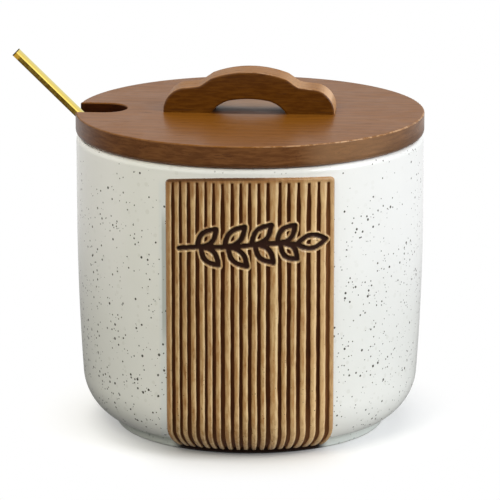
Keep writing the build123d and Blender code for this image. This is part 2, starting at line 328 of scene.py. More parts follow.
def grain_group():
    """Flat-sawn wood running along X: wide bands, narrow streaks, fine fibres and open pores."""
    group, n, given, out = shader_group(
        "Wood grain", {"Band": 7.0, "Bend": 5.0}, ["Bands", "Streaks", "Fibres", "Pores", "Height"]
    )
    place = n.mapping(given["Vector"], (1 / MM, 1 / MM, 1 / MM))
    wander = n.noise(n.mapping(place, (0.011, 0.032, 0.032)), 1.0, 2.0)
    wander = n.times(n.minus(wander, 0.5), given["Bend"])
    split = n.split(place)
    layer = n.times_plus(split[2], 0.6, split[1])
    layer = n.times_plus(wander, 6.0, layer)
    cycle = n.math("DIVIDE", layer, given["Band"])
    ring = n.times_plus(n.math("SINE", n.times(cycle, 2 * math.pi)), 0.5, 0.5)
    ring = n.math("POWER", ring, 1.6)
    broad = n.noise(n.mapping(place, (0.006, 0.05, 0.05)), 1.0, 3.0, 0.6)
    n.put(out["Bands"], n.times_plus(ring, 0.45, n.times(broad, 0.55)))
    streaks = n.noise(n.mapping(place, (0.012, 0.42, 0.42)), 1.0, 4.0, 0.62, 0.4)
    n.put(out["Streaks"], streaks)
    fibres = n.noise(n.mapping(place, (0.07, 3.2, 3.2)), 1.0, 3.0, 0.6)
    n.put(out["Fibres"], fibres)
    pores = n.noise(n.mapping(place, (0.13, 2.3, 2.3), shift=(3.1, 1.7, 0.4)), 1.0, 1.0)
    pores = n.times(n.step(pores, 0.60, 0.68), n.step(streaks, 0.40, 0.56))
    n.put(out["Pores"], pores)
    n.put(out["Height"], n.times_plus(fibres, 0.35, n.times(pores, -1.0)))
    return group


def wear_group():
    """Uneven gloss from handling: slow smudges and fine scratches along X."""
    group, n, given, out = shader_group(
        "Handling", {"Smudge": 18.0, "Scratch": 1.4}, ["Smudges", "Scratches"]
    )
    scale = n.math("DIVIDE", 1.0 / MM, given["Smudge"])
    n.put(out["Smudges"], n.noise(given["Vector"], scale, 3.0, 0.6, 0.6))
    thin = n.mapping(given["Vector"], (0.03 / MM, 1 / MM, 1 / MM))
    scratches = n.noise(thin, given["Scratch"], 2.0, 0.7)
    n.put(out["Scratches"], n.step(scratches, 0.56, 0.72))
    return group


SPECKLE = speckle_group()
GRAIN = grain_group()
WEAR = wear_group()


def empty_tree(owner):
    """The nodes of a material or a world, with none in them yet."""
    owner.use_nodes = True
    owner.node_tree.nodes.clear()
    return Nodes(owner.node_tree)


def new_material(name):
    """A material with a Principled shader; returns it, its nodes, the shader and Object coordinates."""
    material = bpy.data.materials.new(name)
    n = empty_tree(material)
    shader = n.add("ShaderNodeBsdfPrincipled")
    n.add("ShaderNodeOutputMaterial", {"Surface": shader.outputs[0]})
    place = n.add("ShaderNodeTexCoord").outputs["Object"]
    return material, n, shader, place


# -------- materials
def white_glaze():
    material, n, shader, place = new_material("white speckled glaze")
    x, y, height = n.split(place)
    # the iron dots are fewer towards the mouth
    fewer = n.fall(height, 83, 93, 1.0, 0.28)
    dots = n.group(SPECKLE, place, Cell=1.9, Dot=0.49, Keep=fewer, Patch=12.0)["Mask"]
    fewer = n.times(fewer, 0.55)
    small = n.group(SPECKLE, place, Cell=1.2, Dot=0.28, Keep=fewer, Patch=8.0)["Mask"]
    sunk = n.group(SPECKLE, place, Cell=2.6, Dot=0.9, Keep=0.75, Patch=9.0)["Mask"]
    dark = n.most(dots, small)
    speck = n.mix(n.cloud(place, 3, 1.0), (0.008, 0.006, 0.004), (0.060, 0.052, 0.036))
    # painted light: whiter high on both sides
    painted_light_sides = n.most(n.rise(x, 14, 36, 0.5), n.fall(x, -48, -38, 0.55))
    painted_light_sides = n.times(n.rise(height, 34, 78), painted_light_sides)
    # the brown glaze has run a little blue into the white on the panel's left
    facing = n.fall(y, -30, -20)
    beside = n.times(facing, n.under(x, -27.0 * MM))
    wash = n.times(beside, n.fall(height, 94, 98), n.rise(x, -30.9, -29.5, 0.40))
    # a thin darker strip right beside the panel's left edge: partly the brown glaze's run, partly
    # painted shade of the raised panel
    run_and_shade = n.times(beside, n.rise(x, -29.7, -29.1, 0.62), n.rise(height, 36, 48))
    run_and_shade = n.times(run_and_shade, n.fall(height, 79, 88))
    # painted shade: greyer over the lip just under the lid, most in the middle of the front
    thin = n.times(n.rise(x, -38, -5, 0.75), n.fall(x, 19, 34), n.rise(height, 97.6, 100.6))
    # bare clay on the ring that the jar stands on
    ragged = n.times_plus(n.cloud(place, 2.2, 3.0), 0.5 * MM, height)
    bare = n.flip(n.rise(ragged, 0.30, 0.44))
    clay = n.mix(n.cloud(place, 0.8, 4.0, 0.7), (0.36, 0.27, 0.19), (0.55, 0.45, 0.34))
    # painted shade: the foot under the panel is near black
    painted_shade_under_panel = n.times(facing, n.fall(n.size(x), 23, 27), n.fall(height, 1.5, 3.0))
    body = n.coats(
        n.mix(n.cloud(place, 16, 3.0, 0.55), (0.815, 0.815, 0.785), (0.87, 0.87, 0.855)),
        (n.times(sunk, 0.13), (0.40, 0.39, 0.31)),
        (painted_light_sides, (0.95, 0.94, 0.95)),
        (wash, (0.70, 0.76, 0.80)),
        (run_and_shade, (0.36, 0.39, 0.37)),
        (n.times(dark, 0.95), speck),
        (thin, (0.62, 0.61, 0.595)),
        # painted shade: the foot ring is greyer and greener, as in the shade under the belly
        (n.fall(height, 3.2, 4.3, 0.75), (0.64, 0.68, 0.645)),
        (bare, clay),
        (painted_shade_under_panel, (0.018, 0.010, 0.007)),
    )
    smudge = n.group(WEAR, place, Smudge=22.0)["Smudges"]
    orange_peel = n.cloud(place, 5.5, 3.0)
    grit = n.times(n.cloud(place, 0.35, 2.0), n.times(bare, 0.25))
    relief = n.times_plus(dark, -0.12, n.plus(orange_peel, grit))
    n.dress(shader, {
        "Base Color": body,
        "Roughness": n.times_plus(bare, 0.62, n.spread(smudge, 0.13, 0.22)),
        "IOR": 1.5,
        "Normal": n.bump(relief, 0.10, 0.6),
    })
    return material


def brown_glaze():
    """Brown glaze that breaks to tan where it is thin, on the ribs, and pools almost black between."""
    material, n, shader, place = new_material("brown breaking glaze")
    x, _, height = n.split(place)
    # masks that the panel's points carry
    rib, edge, shade, cut, rim, border, pooled, lip = (
        n.add("ShaderNodeAttribute", attribute_name=name).outputs["Fac"]
        for name in ("rib", "rib_edge", "rib_shade", "cut", "rim", "border", "pooled", "lip")
    )
    long_place = n.mapping(place, (1, 1, 0.16))
    streak = n.cloud(long_place, 1.1, 4.0, 0.62, 0.3)
    mottle = n.cloud(place, 6.5, 3.0, 0.6)
    patch = n.cloud(n.mapping(place, (1, 1, 0.55)), 3.6, 3.0, 0.65, 0.5)
    # thinner and lighter on the right and in the last groove; painted light in the low right corner,
    # where the panel bends under into shade
    corner = n.times(n.fall(height, 5, 24), n.rise(x, 4, 20))
    last = n.rise(x, 24.0, 24.6, 0.6)
    thin = n.most(n.times(corner, 0.5), n.rise(x, 15, 22, 0.28))
    cream = (0.82, 0.61, 0.35)
    tan = n.coats(
        n.mix(n.step(streak, 0.32, 0.68), (0.41, 0.225, 0.085), (0.64, 0.43, 0.205)),
        (n.step(mottle, 0.44, 0.66, 0.0, 0.70), (0.39, 0.19, 0.062)),
        (n.step(patch, 0.52, 0.72, 0.0, 0.75), (0.27, 0.118, 0.034)),
        # painted shade on the groove walls facing left; the cream on those facing right is glaze
        # breaking, partly painted light
        (n.times(shade, 0.50), (0.28, 0.12, 0.034)),
        (n.times(edge, n.step(streak, 0.28, 0.60, 0.35)), cream),
        (thin, (0.90, 0.61, 0.32)),
    )
    dark = n.coats(
        n.mix(patch, (0.024, 0.006, 0.002), (0.105, 0.032, 0.008)),
        # painted light: the grooves lighter towards the bottom, where shade falls
        (n.fall(height, 4, 18, 0.6), (0.15, 0.055, 0.016)),
        (n.most(n.times(corner, 0.75), last), (0.24, 0.098, 0.034)),
    )
    # darker along the top, most of all on the left
    top = n.times(n.rise(height, 90, 96), n.fall(x, -20, 20, 0.34, 0.16))
    edging = n.times(border, n.fall(x, 10, 24, 0.72, 0.36))
    pits = n.group(SPECKLE, place, Cell=1.0, Dot=0.23, Keep=0.60, Patch=12.0)["Mask"]
    pits = n.times(pits, n.fall(height, 14, 48, 1.0, 0.3))
    colour = n.coats(
        dark,
        (n.step(rib, 0.05, 0.42), (0.21, 0.078, 0.020)),
        (n.step(rib, 0.32, 0.66), tan),
        (n.times(rim, 0.34), cream),
        (edging, n.mix(streak, (0.20, 0.080, 0.024), (0.45, 0.22, 0.080))),
        (top, (0.16, 0.048, 0.010)),
        # painted shade: a dark line along the panel's top edge
        (n.times(lip, 0.80), (0.050, 0.017, 0.006)),
        # painted shade: the recessed band at the foot is near black
        (pooled, (0.022, 0.008, 0.004)),
        (cut, n.mix(mottle, (0.016, 0.006, 0.004), (0.042, 0.017, 0.011))),
        (n.times(pits, 0.85), (0.07, 0.025, 0.009)),
    )
    smudge = n.group(WEAR, place, Smudge=12.0)["Smudges"]
    hidden = n.most(n.flip(n.step(rib, 0.1, 0.7)), n.most(cut, lip))
    fine = n.cloud(long_place, 0.55, 3.0, 0.6)
    relief = n.times_plus(pits, -0.8, n.times(fine, 0.6))
    n.dress(shader, {
        "Base Color": colour,
        "Roughness": n.times_plus(hidden, 0.22, n.spread(smudge, 0.15, 0.27)),
        "Specular IOR Level": n.step(hidden, 0.0, 1.0, 0.45, 0.10, "LINEAR"),
        "IOR": 1.5,
        "Normal": n.bump(relief, 0.10, 0.7),
    })
    return material


def wood(name, face, light, side_light, side_low, band, oil, grain_shift=(0, 0, 0)):
    """Oiled wood with its grain along the lid's own X. face picks the upright parts, the parts given
    painted shade, and the worn parts, which also carry painted light.
    """
    material, n, shader, place = new_material(name)
    along = n.mapping(place, turn=(0, 0, -LID_TURN), shift=grain_shift)
    grain = n.group(GRAIN, along, Band=band)
    mid, low, warm = (
        tuple(share * tone for share, tone in zip(shares, light))
        for shares in ((0.90, 0.88, 0.86), (0.74, 0.69, 0.64), (1.22, 1.2, 1.1))
    )
    figure = n.cloud(n.mapping(along, (0.22, 1, 1)), 2.6, 3.0, 0.6)
    # where the wood is cut across or upright it is darker and its figure is finer; the darkness is
    # partly painted shade, as upright faces get less light than the top
    upright, inside, worn = face(n, n.mapping(place, turn=(0, 0, -LID_TURN)))
    fleck = n.cloud(n.mapping(along, (0.16, 0.16, 1)), 0.9, 4.0, 0.65)
    colour = n.coats(
        n.ramp(grain["Bands"], [(0.15, low), (0.45, mid), (0.80, light)]),
        (n.step(grain["Streaks"], 0.34, 0.66, 0.32, 0.0), low),
        (n.step(figure, 0.50, 0.72, 0.0, 0.30), light),
        (n.step(grain["Fibres"], 0.55, 0.75, 0.0, 0.16), warm),
        (upright, n.mix(n.step(fleck, 0.36, 0.66), side_low, side_light)),
        (n.times(grain["Pores"], 0.5), (0.045, 0.015, 0.006)),
    )
    # painted shade where inside is set; where worn is set it is lighter, partly real wear and partly
    # painted light
    painted_shade_tone = n.mix(1.0, colour, (0.22, 0.14, 0.12), "MULTIPLY")
    smudges = n.group(WEAR, along, Smudge=15.0)["Smudges"]
    oiled = n.step(upright, 0.0, 1.0, oil, 0.42, "LINEAR")
    n.dress(shader, {
        "Base Color": n.coats(colour, (inside, painted_shade_tone), (worn, (0.66, 0.40, 0.22))),
        "Roughness": n.times_plus(grain["Pores"], 0.2, n.spread(smudges, 0.42, 0.54)),
        "Specular IOR Level": 0.04,
        "Coat Weight": n.times(oiled, n.flip(inside)),
        "Coat Roughness": n.spread(smudges, 0.17, 0.24),
        "Normal": n.bump(grain["Height"], 0.035, 0.7),
    })
    return material


def wear_and_highlight_line(n, place, share):
    """A light line in dashes along an edge: the finish worn through, with a painted highlight on the
    edge.
    """
    return n.times(share, n.step(n.cloud(place, 3.0, 3.0, 0.65), 0.42, 0.60, 0.12, 0.75))


def board_face(n, place):
    """Masks of the lid board: its round edge, the walls of its slot and other places given painted
    shade, and the places that are worn or given painted light.
    """
    x, y, z = n.split(place)
    aside = n.size(x)
    below = n.fall(z, LID_TOP - 0.65, LID_TOP - 0.15)
    radius = n.vector("LENGTH", n.add("ShaderNodeCombineXYZ", {0: x, 1: y}).outputs[0])
    round_edge = n.rise(radius, 58.6, 59.4)
    near_slot = n.times(n.under(n.size(y), 8.5 * MM), n.under(x, -33 * MM))
    walls = n.times(near_slot, n.flip(round_edge))
    # the board's end beyond the slot
    beyond = n.times(n.under(x, -55 * MM), n.over(y, 3.0 * MM), n.fall(y, 7.5, 9.5))
    # painted shade on the slot's walls and on the board's end beyond it
    inside = n.times(below, n.most(walls, beyond))
    upright = n.times(below, n.most(round_edge, near_slot))
    # painted shade, darker and duller, under the handle's arch and low on the round edge's right
    arch = n.times(n.rise(y, -9, -6), n.fall(y, -0.5, 4.5, 0.82), n.fall(aside, 11.5, 14.5))
    low_edge_shade = n.times(n.rise(x, 42, 52, 0.42), n.fall(z, 104, 107), round_edge)
    inside = n.most(n.most(inside, arch), low_edge_shade)
    # painted light: the lid behind the handle is lighter
    painted_light_behind_handle = n.times(n.rise(y, 2, 7, 0.36), n.fall(y, 8, 24), n.fall(aside, 4, 20))
    # a light line in dashes along the top of the round edge, stronger on the right: worn finish with
    # painted highlight
    line = n.fall(n.size(n.minus(z, (LID_TOP - 0.22) * MM)), 0.1, 0.3)
    line = n.times(line, n.rise(radius, 59.3, 59.6), n.rise(x, -5, 32, 0.9, 0.10))
    # painted light: a length of the round edge on the right is lighter, where the light falls on it
    painted_light = n.times(n.rise(x, 18, 30, 0.20), n.fall(x, 42, 57, 1.0, 0.3))
    painted_light = n.most(n.times(painted_light, n.times(below, round_edge)), painted_light_behind_handle)
    return upright, inside, n.most(wear_and_highlight_line(n, place, line), painted_light)


def handle_face(n, place):
    """Masks of the handle: its upright faces, the underside of its arch for painted shade, and the
    places that are worn or given painted light.
    """
    x, y, z = n.split(place)
    away = n.size(y)
    upright = n.rise(away, 5.95, 6.35)
    top = n.flip(upright)
    low = n.fall(z, LID_TOP + 4.2, LID_TOP + 5.2)
    # painted shade on the underside of the arch
    arch = n.times(low, n.fall(n.size(x), 13, 14), top)
    # a light line along the handle's top edges, stronger on the right: worn finish with painted
    # highlight
    line = n.fall(n.size(n.minus(away, 6.0 * MM)), 0.1, 0.3)
    line = n.times(line, n.flip(arch), n.rise(x, -10, 12, 0.8, 0.15))
    # painted light: lighter in its right hollow and round its right end, which face the light
    hollow = n.times(n.rise(x, 9, 15, 0.27), n.fall(x, 18, 21.5))
    painted_light = n.most(hollow, n.rise(x, 23, 28.5, 0.95))
    painted_light = n.times(painted_light, top, n.times_plus(low, -0.5, 1.0))
    return upright, arch, n.most(wear_and_highlight_line(n, place, line), painted_light)


def rod_frame():
    """The spoon's free end, its rod's line out of the jar, and its rod's own sideways and up."""
    tilt, roll = math.radians(ROD_TILT), math.radians(ROD_ROLL)
    axis = np.array([-math.cos(tilt), 0.0, math.sin(tilt)])
    level = np.array([0.0, 1.0, 0.0])
    lifted = np.array([math.sin(tilt), 0.0, math.cos(tilt)])
    across = math.cos(roll) * level + math.sin(roll) * lifted
    up = math.cos(roll) * lifted - math.sin(roll) * level
    cos, sin = math.cos(LID_TURN), math.sin(LID_TURN)
    spin = np.array([[cos, -sin, 0], [sin, cos, 0], [0, 0, 1]])
    axis, across, up = (tuple(float(v) for v in spin @ line) for line in (axis, across, up))
    spots = np.array([v.co for v in nodes["salt_spoon"].data.vertices])
    reach = spots @ np.array(axis)
    tip = spots[reach > reach.max() - 0.5 * MM]
    return tuple(float(v) for v in tip.mean(0)), axis, across, up


def gold():
    material, n, shader, place = new_material("gold-coloured plating")
    # the rod's own direction, so that the polishing lines run along it
    along = n.mapping(place, turn=(0, math.radians(ROD_TILT), 0))
    wear = n.group(WEAR, along, Smudge=14.0, Scratch=3.5)
    end, *ways = rod_frame()
    from_end = n.vector("SUBTRACT", place, end)
    out, side, lift = (n.vector("DOT_PRODUCT", from_end, way) for way in ways)
    # painted reflection: the rod is pale along its back edge and dark towards its lower one
    on_rod = n.rise(out, -120, -105)
    back_highlight = n.times(n.rise(side, -0.7, 1.0), on_rod)
    low = n.times(n.fall(lift, -1.15, 0.1, 0.8), on_rod)
    # painted reflection on the front facet: golden, and dark at its lower edge
    front = n.times(n.flip(n.rise(side, -1.25, -0.9)), n.fall(lift, 0.90, 1.05))
    mottle = n.cloud(n.mapping(along, (0.35, 1, 1)), 1.3, 3.0, 0.6, 0.4)
    dull = n.times(n.step(mottle, 0.40, 0.60, 0.0, 0.75), front)
    dark_reflection = n.times(n.fall(lift, -1.05, -0.55, 0.75), front)
    # painted highlight: its struck end has a bright glint in front; it also has a dark last edge
    glint = n.times(n.rise(out, -2.9, -1.9), front)
    edge = n.rise(out, -0.45, -0.25)
    tint = n.coats(
        n.mix(wear["Smudges"], (0.90, 0.70, 0.19), (0.80, 0.58, 0.11)),
        (back_highlight, (0.74, 0.66, 0.30)),
        (low, (0.24, 0.12, 0.045)),
        (n.times(front, 0.6), (0.92, 0.56, 0.06)),
        (dull, (0.42, 0.21, 0.015)),
        (dark_reflection, (0.09, 0.045, 0.02)),
        (glint, (0.95, 0.55, 0.06)),
        (edge, (0.06, 0.04, 0.015)),
    )
    n.dress(shader, {
        "Base Color": tint,
        "Metallic": n.step(n.minus(glint, edge), 0.0, 1.0, 1.0, 0.25, "LINEAR"),
        "Roughness": n.times_plus(wear["Scratches"], 0.08, n.spread(wear["Smudges"], 0.10, 0.17)),
        "Normal": n.bump(wear["Scratches"], 0.003, 0.4),
    })
    return material


def steel():
    material, n, shader, place = new_material("zinc-plated steel")
    wear = n.group(WEAR, place, Smudge=3.0, Scratch=8.0)
    n.dress(shader, {
        "Base Color": n.mix(wear["Smudges"], (0.50, 0.50, 0.49), (0.66, 0.66, 0.67)),
        "Metallic": 1.0,
        "Roughness": n.spread(wear["Smudges"], 0.25, 0.42),
        "Normal": n.bump(wear["Scratches"], 0.02, 0.5),
    })
    return material


def silicone():
    material, n, shader, place = new_material("silicone")
    haze = n.cloud(place, 4, 3.0, 0.6)
    n.dress(shader, {
        "Base Color": n.mix(haze, (0.70, 0.69, 0.65), (0.80, 0.79, 0.76)),
        "Roughness": n.spread(haze, 0.42, 0.55),
        "Normal": n.bump(n.cloud(place, 0.5, 2.0), 0.03, 0.4),
    })
    return material


WHITE_GLAZE = white_glaze()
BROWN_GLAZE = brown_glaze()
BOARD_WOOD = wood(
    "lid wood",
    board_face,
    light=(0.216, 0.077, 0.007),
    side_light=(0.164, 0.063, 0.018),
    side_low=(0.106, 0.037, 0.009),
    band=5.0,
    oil=0.235,
)
HANDLE_WOOD = wood(
    "handle wood",
    handle_face,
    light=(0.32, 0.135, 0.026),
    side_light=(0.112, 0.038, 0.004),
    side_low=(0.076, 0.023, 0.002),
    band=4.0,
    oil=0.14,
    grain_shift=(0.02, 0.013, -0.004),
)
SPOON_GOLD = gold()
SCREW_STEEL = steel()
SEAL_SILICONE = silicone()


# -------- jar
HEEL_LEAN = 2 * math.atan2(HEEL_TAPER, BELLY_HEIGHT - HEEL_HEIGHT)
HEEL_CENTRE = (
    BODY_RADIUS - HEEL_TAPER - CORNER_RADIUS * math.cos(HEEL_LEAN),
    HEEL_HEIGHT + CORNER_RADIUS * math.sin(HEEL_LEAN),
)


def side_profile():
    """Radius and height down the outside of the jar, from the belly to the foot, in mm."""
    drop = BELLY_HEIGHT - HEEL_HEIGHT
    draw_in = (drop**2 + HEEL_TAPER**2) / (2 * HEEL_TAPER)
    heights = np.linspace(BELLY_HEIGHT, HEEL_HEIGHT, 26)
    side = [
        (BODY_RADIUS - draw_in + math.sqrt(draw_in**2 - (BELLY_HEIGHT - z) ** 2), z) for z in heights
    ]
    corner = arc(HEEL_CENTRE, CORNER_RADIUS, -HEEL_LEAN, -HEEL_LEAN - CORNER_ARC, 28)
    return side, corner


def jar_profile():
    """The whole section of the jar, from the middle of its underside round to the middle inside."""
    side, corner = side_profile()
    quarter = math.pi / 2
    lip = JAR_HEIGHT - LIP_ROUND
    # underside and foot ring
    inner = FOOT_RADIUS - FOOT_WIDTH
    points = [(r, FOOT_RECESS) for r in (0.0, 3.0, 8.0, 14.0, 20.0, 26.0, 32.0, 37.0, 40.6)]
    points += arc((inner - 0.6, FOOT_RECESS - 0.6), 0.6, quarter, 0, 5)
    points += arc((inner + FOOT_ROUND, FOOT_ROUND), FOOT_ROUND, 2 * quarter, 3 * quarter, 7)
    points += [(inner + FOOT_FLAT, 0.0), (FOOT_RADIUS - FOOT_FLAT, 0.0)]
    points += arc((FOOT_RADIUS - FOOT_ROUND, FOOT_ROUND), FOOT_ROUND, -quarter, 0, 7)
    points += [(FOOT_RADIUS, 1.8), (FOOT_RADIUS, 2.9), (FOOT_RADIUS, 3.6)]
    # the crease between the foot and the body
    crease = ((0.12, 3.84), (0.5, 3.98), (1.8, 4.17), (3.0, 4.34))
    points += [(FOOT_RADIUS + out, z) for out, z in crease]
    # side and lip
    points += corner[::-1] + side[::-1][1:]
    points += [(BODY_RADIUS, z) for z in np.linspace(76.5, lip - 0.6, 9)]
    points += arc((BODY_RADIUS - LIP_ROUND, lip), LIP_ROUND, 0, quarter, 12)
    points += arc((BORE_RADIUS + LIP_ROUND, lip), LIP_ROUND, quarter, 2 * quarter, 12)
    # inside
    points += [(BORE_RADIUS, z) for z in np.linspace(lip - 3, BELLY_HEIGHT, 6)]
    low_bore = BORE_RADIUS - HEEL_TAPER
    corner_top = FLOOR_TOP + FLOOR_CORNER
    rise = BELLY_HEIGHT - FLOOR_TOP
    for z in np.linspace(BELLY_HEIGHT, corner_top, 12)[1:-1]:
        points.append((low_bore + HEEL_TAPER * (z - FLOOR_TOP) / rise, z))
    points += arc((low_bore - FLOOR_CORNER + 0.3, corner_top), FLOOR_CORNER, 0, -quarter, 18)
    points += [(r, FLOOR_TOP) for r in (38.0, 33.0, 27.0, 21.0, 14.0, 8.0, 3.0, 0.0)]
    return points


def make_jar():
    profile = np.array(jar_profile())
    turns = np.linspace(0, 2 * math.pi, JAR_TURNS, endpoint=False)
    # the thrower's hand: the wall is a little out of round, and differently so at each height
    radius = profile[:, 0][:, None]
    height = profile[:, 1][:, None]
    sway = 0.07 * np.sin(2 * turns + 0.9 + height / 45) + 0.05 * np.sin(3 * turns - 1.1 + height / 22)
    sway = sway * smoothstep(12, 40, radius) * smoothstep(2.5, 12, height)
    sway = sway * (1 - smoothstep(88, 97, height))
    full = radius + sway
    x, y = full * np.cos(turns), full * np.sin(turns)
    rows = np.stack([x, y, np.broadcast_to(height, x.shape)], -1)
    points = [rows[0, 0]] + list(rows[1:-1].reshape(-1, 3)) + [rows[-1, 0]]
    ring_count = len(profile) - 2
    faces = [tuple(v + 1 for v in face) for face in grid_faces(ring_count, JAR_TURNS, wrap=True)]
    last = len(points) - 1
    top_ring = 1 + (ring_count - 1) * JAR_TURNS
    for k in range(JAR_TURNS):
        following = (k + 1) % JAR_TURNS
        faces.append((0, 1 + following, 1 + k))
        faces.append((last, top_ring + k, top_ring + following))
    return make_mesh("jar", points, faces, WHITE_GLAZE)


# -------- ribbed panel
def sprig_lines():
    """A leafy twig drawn in single strokes, as lines of (x, z) about its own middle, in mm."""
    start, end = -23.5, 15.5
    stem_x = np.linspace(start, end, 60)
    share = (stem_x - start) / (end - start)
    stem_z = -2.6 + 2.4 * np.sin(share * 1.9) + 0.3 * np.sin(stem_x / 4)
    lines = [np.stack([stem_x, stem_z], 1)]

    def leaf(x, aim, length, half_width):
        base = np.array([x, np.interp(x, stem_x, stem_z)])
        along = np.array([math.cos(aim), math.sin(aim)])
        side = np.array([-along[1], along[0]])
        share = np.linspace(0, 1, 24)
        bulge = np.sin(math.pi * share)
        for sign in (-1, 1):
            reach = share[:, None] * length * along
            lines.append(base + reach + (sign * half_width * bulge)[:, None] * side)

    for x, length in ((-17.5, 9.0), (-8.5, 9.8), (0.5, 9.4), (9.0, 8.4)):
        leaf(x, 0.80, length, 2.1)
        leaf(x + 1.2, -0.80, 0.92 * length, 2.0)
    leaf(end, 0.12, 9.8, 2.3)
    return lines


def make_sprig():
    """The twig as a flat wire, where the panel's sheet lies before it is bent round the jar."""
    points, edges = [], []
    for line in sprig_lines():
        first = len(points)
        points += [(x, 0.0, z + TWIG_HEIGHT) for x, z in line]
        edges += [(first + k, first + k + 1) for k in range(len(line) - 1)]
    mesh = bpy.data.meshes.new("sprig")
    mesh.from_pydata([tuple(v * MM for v in p) for p in points], edges, [])
    return place_in_scene("sprig", mesh)


def uneven_spread(count, edge, first):
    """Shares from 0 to 1 that are closer together at both ends."""
    middle = np.full(count - 2 * edge, 1.0)
    steps = np.concatenate([np.linspace(first, 1.0, edge), middle, np.linspace(1.0, first, edge)])
    shares = np.concatenate([[0.0], np.cumsum(steps)])
    return shares / shares[-1]


def panel_sheet():
    """A flat sheet in the XZ plane that knows, at each point, where it lies on the jar and which
    way is out."""
    columns = PANEL_HALF * (2 * uneven_spread(PANEL_COLUMNS, 10, EDGE_STEP) - 1)
    side, corner = side_profile()
    # the line down the jar's front: radius, height and the way out
    knots = [(BODY_RADIUS, PANEL_TOP, 1.0, 0.0), (BODY_RADIUS, BELLY_HEIGHT, 1.0, 0.0)]
    line = side + corner[1:]
    for (r, z), (r2, z2) in zip(line[1:-1], line[2:]):
        dr, dz = r2 - r, z2 - z
        size = math.hypot(dr, dz)
        knots.append((r, z, -dz / size, dr / size))
    # below the heel the panel runs on in the same curve, over the crease above the foot ring
    low_turn = math.acos((FOOT_RADIUS + 0.85 - HEEL_CENTRE[0]) / CORNER_RADIUS)
    high_turn = HEEL_LEAN + CORNER_ARC
    for turn in np.linspace(high_turn, low_turn, 7)[1:]:
        spot = arc(HEEL_CENTRE, CORNER_RADIUS, -turn, -turn, 1)[0]
        knots.append((*spot, math.cos(turn), -math.sin(turn)))
    # and then down the foot ring
    knots += [(FOOT_RADIUS + 0.12, 1.75, 1.0, -0.05), (FOOT_RADIUS + 0.05, PANEL_BOTTOM, 1.0, 0.0)]
    knots = np.array(knots)
    lengths = np.concatenate([[0], np.cumsum(np.hypot(*np.diff(knots[:, :2], axis=0).T))])
    places = lengths[-1] * uneven_spread(PANEL_ROWS, 9, EDGE_STEP)
    r, z, out_r, out_z = (np.interp(places, lengths, knots[:, k]) for k in range(4))
    # how far the sheet's border dips under this line to reach the jar
    under = np.interp(r, [FOOT_RADIUS, line[-1][0]], [FOOT_HEIGHT, line[-1][1]]) - z
    gap = np.minimum(1.1 * under, (r - FOOT_RADIUS) / np.maximum(out_r, 0.2))
    sink = PANEL_SINK + np.clip(np.where(z < line[-1][1], gap, 0), 0, 2)
    s = columns[None, :] / PANEL_HALF
    crown = np.clip((z - BELLY_HEIGHT) / (PANEL_TOP - BELLY_HEIGHT), 0, 1)[:, None]
    z_here = z[:, None] - (PANEL_SAG * s**2 - PANEL_SLANT * s * np.abs(s)) * crown
    bend = np.clip((PANEL_BEND - z) / PANEL_BEND, 0, 1)[:, None]
    x = columns[None, :] * (1 - (1 - PANEL_FOOT_SHARE) * bend**2)

    def filled(values):
        return np.broadcast_to(values, x.shape)

    y = -np.sqrt(r[:, None] ** 2 - x**2)
    wrap = np.stack([x, y, z_here], -1)
    out = np.stack([filled(0), -out_r[:, None] * r[:, None] / -y, filled(out_z[:, None])], -1)
    flat_z = PANEL_TOP - places[:, None]
    flat = np.stack([filled(columns[None, :]), filled(0), filled(flat_z)], -1)
    sheet = make_mesh("ribbed_panel_sheet", flat.reshape(-1, 3), grid_faces(*x.shape))
    for name, values in (
        ("wrap", wrap * MM),
        ("out", out),
        ("height", z_here),
        ("from_top", filled(places[:, None])),
        ("from_end", filled(np.minimum(places, lengths[-1] - places)[:, None])),
        ("sink", filled(sink[:, None])),
        ("from_side", filled(PANEL_HALF - np.abs(columns)[None, :])),
    ):
        kind, part = ("FLOAT_VECTOR", "vector") if values.ndim == 3 else ("FLOAT", "value")
        layer = sheet.data.attributes.new(name, kind, "POINT")
        layer.data.foreach_set(part, values.reshape(-1).astype(np.float32))
    return sheet


